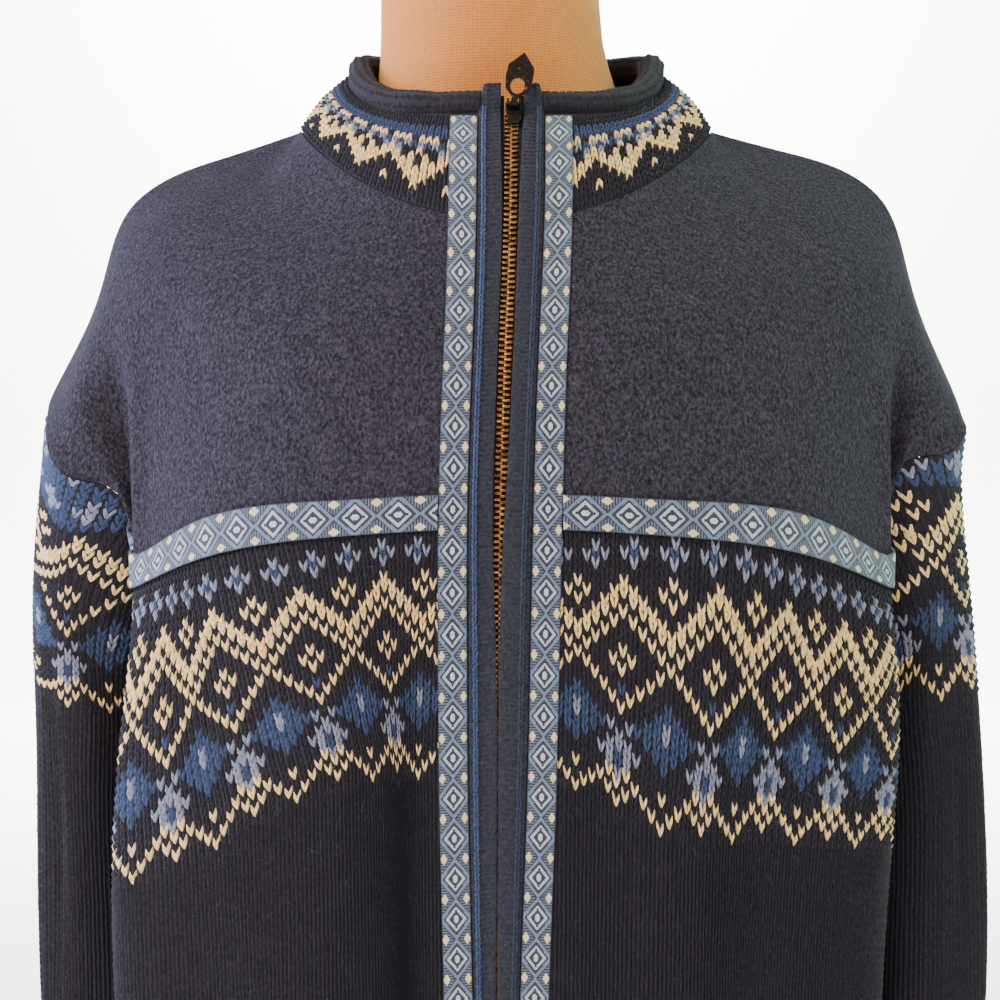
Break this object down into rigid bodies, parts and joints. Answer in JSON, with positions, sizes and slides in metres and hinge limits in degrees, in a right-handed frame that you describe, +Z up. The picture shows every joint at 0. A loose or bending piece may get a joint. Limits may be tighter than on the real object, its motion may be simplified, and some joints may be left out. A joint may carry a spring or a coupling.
{
  "type": "wool cardigan on dress form",
  "caption": "Zip-front wool cardigan with a felted yoke, patterned knit and woven ribbon trim, worn by a limbless dress form on a round stand.",
  "frame": {"origin": "centre of the stand's underside, where it rests on the floor", "axes": "+Z up, the garment's front faces -Y, +X to the right as seen from the front"},
  "size_m": [0.5155, 0.301, 0.916],
  "materials": {
    "felted_wool": "felted",
    "dark_knit": "knitted",
    "patterned_knit": "knitted",
    "fine_knit": "fine ribbed knit",
    "woven_ribbon": "woven",
    "zip_tape": "woven",
    "antique_brass": "aged",
    "linen": "woven",
    "dark_steel": "satin"
  },
  "bodies": {
    "cardigan": {"yoke_front_left": "felted_wool", "yoke_front_right": "felted_wool", "yoke_back": "felted_wool", "body_front_left": "dark_knit", "body_front_right": "dark_knit", "body_back": "dark_knit", "sleeve_left": "dark_knit", "sleeve_right": "dark_knit", "collar_band": "patterned_knit", "collar_roll": "fine_knit", "placket_left": "fine_knit", "placket_right": "fine_knit", "ribbon_front_left": "woven_ribbon", "ribbon_front_right": "woven_ribbon", "ribbon_yoke_left": "woven_ribbon", "ribbon_yoke_right": "woven_ribbon", "ribbon_yoke_back": "woven_ribbon", "zip_tape_left": "zip_tape", "zip_tape_right": "zip_tape", "zip_chain": "antique_brass", "zip_slider": "antique_brass", "zip_box": "antique_brass", "form_torso": "linen", "stand_pole": "dark_steel", "stand_base": "dark_steel"},
    "pull": {"zip_pull": "antique_brass"}
  },
  "joints": [
    {"name": "pull_hinge", "type": "hinge", "parent": "cardigan", "child": "pull", "pos_m": [0.0036, -0.08388, 0.81748], "axis": [1, 0, 0], "range_deg": [0, 150]}
  ]
}
